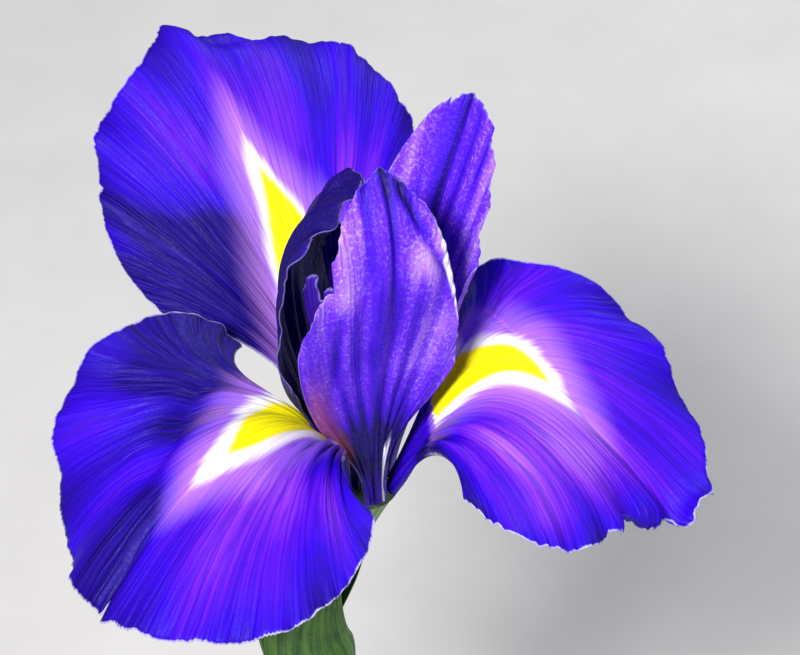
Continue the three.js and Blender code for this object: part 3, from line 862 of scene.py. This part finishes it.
def build_standards():
    material = standard_material()
    for seed, (name, petal) in enumerate(STANDARDS.items(), STANDARD_SEED):
        margin = nicked(seed, STANDARD_NICKS, NOTCHES[name])
        s, t, x, y, points = petal_grid(petal, STANDARD_CELLS, margin)
        edge = distance_to_rim(points)
        groove = standard_folds(name, x, y)
        relief = standard_relief(s, t, edge, seed * 10) + GROOVE_DEPTH[name] * groove
        points = points + grid_normals(points) * relief[..., None]
        rib = 0.5 * bump_at(x, 0, 2) * (1 - s)
        thickness = 0.3 + rib - 0.12 * np.exp(-edge / 0.8)
        fields = standard_fields(name, s, t, x, y, edge, groove)
        placed = points + FLOWER_BASE
        piece = make_sheet(name + "_petal", placed, thickness, s, t, fields, material)
        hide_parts(name)


STYLE_CELLS = (60, 70)
STYLE_SEED = 51
STYLE_NICKS = 0.3
STYLE_THICKNESS = 0.35


def build_styles():
    material = style_material()
    for seed, (name, azimuth) in enumerate(STYLE_AZIMUTHS.items(), STYLE_SEED):
        petal = dict(STYLE_ARM, azimuth=azimuth)
        s, t, _, _, points = petal_grid(petal, STYLE_CELLS, nicked(seed, STYLE_NICKS))
        edge = distance_to_rim(points)
        frill = 0.45 * smooth(0.55, 1.0, s) * waves(t, s, 4, 1, seed)
        points = points + grid_normals(points) * frill[..., None]
        fields = {"tone": 0.1 + 0.3 * s, "edge": edge}
        placed = points + FLOWER_BASE
        piece = make_sheet("style_" + name, placed, STYLE_THICKNESS, s, t, fields, material)
        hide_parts("style_arm_" + name)


# ---- Rods: stem, ovary and stamens ----
def ring_faces(rings, sides):
    """Faces between rings of points, and a fan at each end, round two points that follow the rings."""
    around = np.arange(sides)
    after = (around + 1) % sides
    faces = []
    for ring in range(rings - 1):
        low, high = ring * sides, (ring + 1) * sides
        faces += np.stack([low + around, low + after, high + after, high + around], -1).tolist()
    start = rings * sides
    last = (rings - 1) * sides
    faces += [[start, int(b), int(a)] for a, b in zip(around, after)]
    faces += [[start + 1, int(last + a), int(last + b)] for a, b in zip(around, after)]
    return faces


def ring_uv(rings, sides):
    around = np.tile(np.arange(sides) / sides, rings)
    along = np.repeat(np.linspace(0, 1, rings), sides)
    return np.concatenate([np.stack([around, along], -1), [[0, 0], [0, 1]]])


def make_rod(name, line, half_width, half_thickness, material, across=(0, 1, 0)):
    """A closed rod along a line of points, with a half width and half thickness for each side."""
    rings, sides = half_width.shape
    along = unit_rows(np.gradient(line, axis=0))
    across = np.array(across, float)
    normal = unit_rows(np.cross(along, across))
    turn = np.linspace(0, 2 * math.pi, sides, endpoint=False)
    points = (
        line[:, None]
        + across * (np.cos(turn) * half_width)[..., None]
        + normal[:, None] * (np.sin(turn) * half_thickness)[..., None]
    )
    vertices = np.concatenate([points.reshape(-1, 3), line[:1], line[-1:]])
    faces = ring_faces(rings, sides)
    return make_object(name, vertices, faces, ring_uv(rings, sides), {}, material)


STEM_RADIUS = 3.6
STEM_FOOT = np.array([STEM_HIGH[0] - STEM_RADIUS * 1.04, 0.0, STEM_LOW[2] + 0.4])
STEM_TOP = np.array([STEM_LOW[0] + STEM_RADIUS * 0.94, 0.0, STEM_HIGH[2] - 0.3])
STEM_STEPS = 90
STEM_SIDES = 96
STEM_WIDENING = 1.02
STEM_TAPER = 0.1
# Swollen rings on the stem: how far up it, and how far they stand out in mm.
STEM_RINGS = [(0.735, 0.15), (0.86, 0.09)]
STEM_RING_WIDTH = 0.012
STEM_CUT = 0.3
OVARY_EASE = 12
OVARY_RADII = [3.2, 5.6, 5.2, 2.0, 1.8, TUBE_FLARE]


def stalk_lines():
    lean = (STEM_TOP - STEM_FOOT) / np.linalg.norm(STEM_TOP - STEM_FOOT)
    u = np.linspace(0, 1, STEM_STEPS)[:, None]
    stem = STEM_FOOT + (STEM_TOP - STEM_FOOT) * u
    below_flower = FLOWER_BASE - np.array([0.0, 0.0, OVARY_EASE])
    ovary = bezier([STEM_TOP, STEM_TOP + lean * OVARY_EASE, below_flower, FLOWER_BASE], u)
    return stem, ovary, lean


def build_stalk():
    stem, ovary, lean = stalk_lines()
    u = np.linspace(0, 1, STEM_STEPS)[:, None]
    turn = np.linspace(0, 2 * math.pi, STEM_SIDES, endpoint=False)[None]
    ridges = 0.06 * np.cos(14 * turn) + 0.04 * np.cos(31 * turn + 1)
    swollen = sum(out * bump_at(u, at, STEM_RING_WIDTH) for at, out in STEM_RINGS)
    radius = STEM_RADIUS * (STEM_WIDENING - STEM_TAPER * u) + ridges + swollen
    radius[0] -= STEM_CUT
    green = green_material("stem_green", GREENS["stem"], 30, 0.0)
    piece = make_rod("cut_stem", stem, radius, radius, green)
    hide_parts("stem")

    lobes = 0.18 * np.cos(3 * turn) * smooth(0, 0.2, u) * smooth(0.9, 0.6, u)
    swell = bezier(OVARY_RADII, u) + lobes
    ovary[-1] -= [0, 0, CLAW_GAP]
    tube = green_material("ovary_green", GREENS["ovary"], 24, 0.05)
    piece = make_rod("ovary", ovary, swell, swell, tube)
    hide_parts("ovary_tube")
    return stem, ovary, lean


# Each sheath: where it starts and stops below the flower, the way it faces, how far round it
# wraps to each side in degrees, and how far it stands off the stem, from its foot to its tip.
SPATHES = {
    "spathe_outer": dict(
        start=55, stop=9, facing=-125, wrap=[128, 128, 110, 62, 8], radii=[4.9, 8.4, 9.0, 7.4, 5.0],
    ),
    "spathe_inner": dict(
        start=43, stop=12, facing=75, wrap=[120, 120, 100, 60, 8], radii=[5.0, 5.2, 5.6, 6.4, 7.0],
    ),
}
SPATHE_POINTS = (71, 101)
SPATHE_SEED = 71


def along_path(path, places, depth):
    """Values kept along a path, at the given depths below its upper end."""
    columns = [np.interp(depth, places[::-1], path[::-1, k]) for k in range(3)]
    return np.stack(columns, -1)


def build_spathes(stem, ovary):
    material = green_material("spathe_green", GREENS["spathe"], 40, 0.15)
    path = np.concatenate([stem, ovary[1:]])
    steps = np.linalg.norm(np.diff(path, axis=0), axis=1)
    below = np.concatenate([[0], np.cumsum(steps)])
    below = below[-1] - below
    slope = unit_rows(np.gradient(path, axis=0))
    across = np.array([0.0, 1.0, 0.0])
    rows, columns = SPATHE_POINTS
    s, t = np.meshgrid(np.linspace(0, 1, rows), np.linspace(-1, 1, columns), indexing="ij")
    for seed, (name, spathe) in enumerate(SPATHES.items(), SPATHE_SEED):
        depth = spathe["start"] + (spathe["stop"] - spathe["start"]) * s
        place = along_path(path, below, depth)
        forward = unit_rows(np.cross(across, unit_rows(along_path(slope, below, depth))))
        turn = np.radians(spathe["facing"] + t * bezier(spathe["wrap"], s))
        radius = bezier(spathe["radii"], s) + 0.1 * waves(t, s, 10, 0.4, seed) * smooth(0, 0.2, s)
        off_stem = forward * np.cos(turn)[..., None] + across * np.sin(turn)[..., None]
        points = place + off_stem * radius[..., None]
        edge = distance_to_rim(points)
        thickness = 0.25 + 0.35 * smooth(0, 3, edge)
        fields = {"edge": edge}
        piece = make_sheet(name + "_sheath", points, thickness, s, t, fields, material)
        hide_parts(name)


LEAF_CELLS = (150, 48)
LEAF_SEED = 81
LEAF_RIBS = 9


def build_leaves(lean):
    material = green_material("leaf_green", GREENS["leaf"], 36, 0.15)
    angle = math.atan2(lean[0], lean[2])
    for seed, (name, leaf) in enumerate(LEAVES.items(), LEAF_SEED):
        s, t, _, _, points = petal_grid(leaf, LEAF_CELLS)
        edge = distance_to_rim(points)
        ribs = 0.05 * np.cos(2 * math.pi * LEAF_RIBS * t)
        swell = 0.25 * waves(t, s, 0.3, 1.6, seed) * smooth(0.2, 0.6, s)
        points = points + grid_normals(points) * (ribs + swell)[..., None]
        leaned = points.copy()
        leaned[..., 0] = points[..., 0] * math.cos(angle) + points[..., 2] * math.sin(angle)
        leaned[..., 2] = points[..., 2] * math.cos(angle) - points[..., 0] * math.sin(angle)
        placed = leaned + STEM_FOOT + (STEM_TOP - STEM_FOOT) * leaf["node_at"]
        thickness = 0.3 + 0.4 * smooth(0, 2, edge)
        fields = {"edge": edge}
        piece = make_sheet(name + "_blade", placed, thickness, s, t, fields, material)
        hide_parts(name)


STAMEN_LINE = [(3.2, 0), (4, 13), (5.2, 24), (8.6, 33)]
STAMEN_STEPS = 90
STAMEN_SIDES = 32
FILAMENT_RADIUS = 0.33
ANTHER_FROM = 0.5
ANTHER_TO = 0.985
ANTHER_EXTRA_WIDTH = 0.75
ANTHER_EXTRA_THICKNESS = 0.17
ANTHER_GROOVE = 0.16


def build_stamens():
    material = anther_material()
    u = np.linspace(0, 1, STAMEN_STEPS)
    reach = bezier([p[0] for p in STAMEN_LINE], u)
    rise = bezier([p[1] for p in STAMEN_LINE], u)
    inside = np.clip((u - ANTHER_FROM) / (1.0 - ANTHER_FROM), 0, ANTHER_TO)
    anther = np.sin(math.pi * inside)[:, None]
    around = np.linspace(0, 2 * math.pi, STAMEN_SIDES, endpoint=False)[None]
    groove = 1 - ANTHER_GROOVE * np.exp(-((np.abs(np.sin(around)) - 1) ** 2) / 0.02) * (anther > 0.05)
    width = (FILAMENT_RADIUS + ANTHER_EXTRA_WIDTH * np.sqrt(anther)) * groove
    depth = (FILAMENT_RADIUS + ANTHER_EXTRA_THICKNESS * anther) * groove
    for name, azimuth in STYLE_AZIMUTHS.items():
        turn = math.radians(azimuth)
        line = np.stack([reach * math.cos(turn), reach * math.sin(turn), rise], -1) + FLOWER_BASE
        across = (-math.sin(turn), math.cos(turn), 0)
        piece = make_rod("anther_" + name, line, width, depth, material, across)
        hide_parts("stamen_" + name)


# ---- Vase ----
VASE_RADII = [26, 43, 44, 3.5, 9.5, 14.5]
VASE_HEIGHTS = [1.5, 20, 60, 76, 96, 110]
VASE_STEPS = 120
VASE_SIDES = 144
WALL = 3.0
VASE_FLOOR = 4.0
GLAZE_LINE = 3.2


def vase_profile():
    """Half of the vase's section, from the middle of its foot over the lip to its floor."""
    u = np.linspace(0, 1, VASE_STEPS)
    out_r, out_z = bezier(VASE_RADII, u), bezier(VASE_HEIGHTS, u)
    throwing_rings = 0.12 * np.sin(out_z * 1.15) * smooth(4, 12, out_z) * smooth(106, 98, out_z)
    out_r = out_r + throwing_rings
    foot = [(0, 0.6), (18.5, 0.6), (20, 0.0), (24.2, 0.0), (25.4, 0.5)]
    angle = np.linspace(-0.1, math.pi + 0.1, 15)
    lip_centre = VASE_RADII[-1] - WALL / 2
    lip_height = VASE_HEIGHTS[-1] - 0.6
    lip = [(lip_centre + WALL / 2 * math.cos(a), lip_height + 1.35 * math.sin(a)) for a in angle]
    keep = out_z > VASE_FLOOR + WALL
    inside = list(zip((out_r - WALL)[keep][::-1], out_z[keep][::-1]))
    base = [(20.5, VASE_FLOOR + 0.6), (19, VASE_FLOOR), (0, VASE_FLOOR)]
    return np.array(foot + list(zip(out_r[:-1], out_z[:-1])) + lip + inside[1:] + base)


def build_vase():
    profile = vase_profile()
    wall = profile[1:-1]
    turn = np.linspace(0, 2 * math.pi, VASE_SIDES, endpoint=False)
    height = np.repeat(wall[:, 1:], VASE_SIDES, axis=1)
    rings = np.stack([wall[:, :1] * np.cos(turn), wall[:, :1] * np.sin(turn), height], -1)
    ends = [[0, 0, profile[0, 1]], [0, 0, profile[-1, 1]]]
    vertices = np.concatenate([rings.reshape(-1, 3), ends])
    faces = ring_faces(len(wall), VASE_SIDES)
    uv = ring_uv(len(wall), VASE_SIDES)
    material = glaze_material(GLAZE_LINE * MM)
    piece = make_object("bud_vase", vertices, faces, uv, {}, material)
    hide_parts("vase")


# ---- Floor, lights and camera, in metres ----
FLOOR_SIZE = 12
FLOOR_LEVEL = -0.0002
FLOOR_ROUGHNESS = 0.85
LIGHT_TARGET = (0.0, 0.0, 0.2)
# Each lamp: its place, its size, its power in watts and its colour.
LIGHTS = {
    "key": ((-0.22, -0.44, 0.80), 0.18, 11.6, (1.0, 0.97, 0.94)),
    "rim": ((0.35, 0.55, 0.6), 0.3, 4.0, (0.92, 0.94, 1.0)),
    "fill": ((0.7, -0.6, 0.45), 0.7, 2.8, (0.95, 0.96, 1.0)),
}
WORLD_COLOR = (0.86, 0.88, 0.92, 1)
WORLD_STRENGTH = 0.17


def build_floor():
    bpy.ops.mesh.primitive_plane_add(size=FLOOR_SIZE, location=(0, 0, FLOOR_LEVEL))
    floor = bpy.context.object
    floor.name = "floor"
    shader = Shader("floor")
    grain = shader.noise(shader.place(), 30.0, detail=5.0, roughness=0.6)
    color = shader.ramp(grain, FLOOR_STOPS)
    normal = shader.bump(grain, strength=0.05, distance=0.001)
    floor.data.materials.append(shader.finish(color, normal, FLOOR_ROUGHNESS))


def add_light(name, place, size, power, color):
    data = bpy.data.lights.new(name, "AREA")
    data.size = size
    data.energy = power
    data.color = color
    light = bpy.data.objects.new(name, data)
    light.location = place
    aim = Vector(LIGHT_TARGET) - Vector(place)
    light.rotation_euler = aim.to_track_quat("-Z", "Y").to_euler()
    bpy.context.scene.collection.objects.link(light)


def build_lights():
    for name, (place, size, power, color) in LIGHTS.items():
        add_light(name, place, size, power, color)
    world = bpy.data.worlds.new("studio")
    world.use_nodes = True
    background = world.node_tree.nodes["Background"]
    background.inputs["Color"].default_value = WORLD_COLOR
    background.inputs["Strength"].default_value = WORLD_STRENGTH
    bpy.context.scene.world = world


# The camera's elevation in degrees; its distance, lens, sensor and offsets in millimetres.
CAMERA_ELEVATION = 45
CAMERA_DISTANCE = 560
CAMERA_LENS = 158.76
CAMERA_SENSOR = 36
FLOWER_RIGHT_OF_CENTRE = -5.556
FLOWER_BELOW_CENTRE = 24.52
NEAREST_SEEN = 0.05
FARTHEST_SEEN = 10


def build_camera():
    data = bpy.data.cameras.new("camera")
    data.lens = CAMERA_LENS
    data.sensor_width = CAMERA_SENSOR
    data.clip_start = NEAREST_SEEN
    data.clip_end = FARTHEST_SEEN
    camera = bpy.data.objects.new("camera", data)
    tilt = math.radians(CAMERA_ELEVATION)
    right = np.array([1.0, 0.0, 0.0])
    up = np.array([0.0, math.sin(tilt), math.cos(tilt)])
    forward = np.array([0.0, math.cos(tilt), -math.sin(tilt)])
    centre = FLOWER_BASE - right * FLOWER_RIGHT_OF_CENTRE + up * FLOWER_BELOW_CENTRE
    camera.location = (centre - forward * CAMERA_DISTANCE) * MM
    camera.rotation_euler = (math.radians(90 - CAMERA_ELEVATION), 0, 0)
    bpy.context.scene.collection.objects.link(camera)
    bpy.context.scene.camera = camera


build_camera()
build_falls()
build_standards()
build_styles()
stem_line, ovary_line, stem_lean = build_stalk()
build_spathes(stem_line, ovary_line)
build_leaves(stem_lean)
build_stamens()
build_vase()
build_floor()
build_lights()
bpy.context.scene.view_settings.view_transform = "Standard"
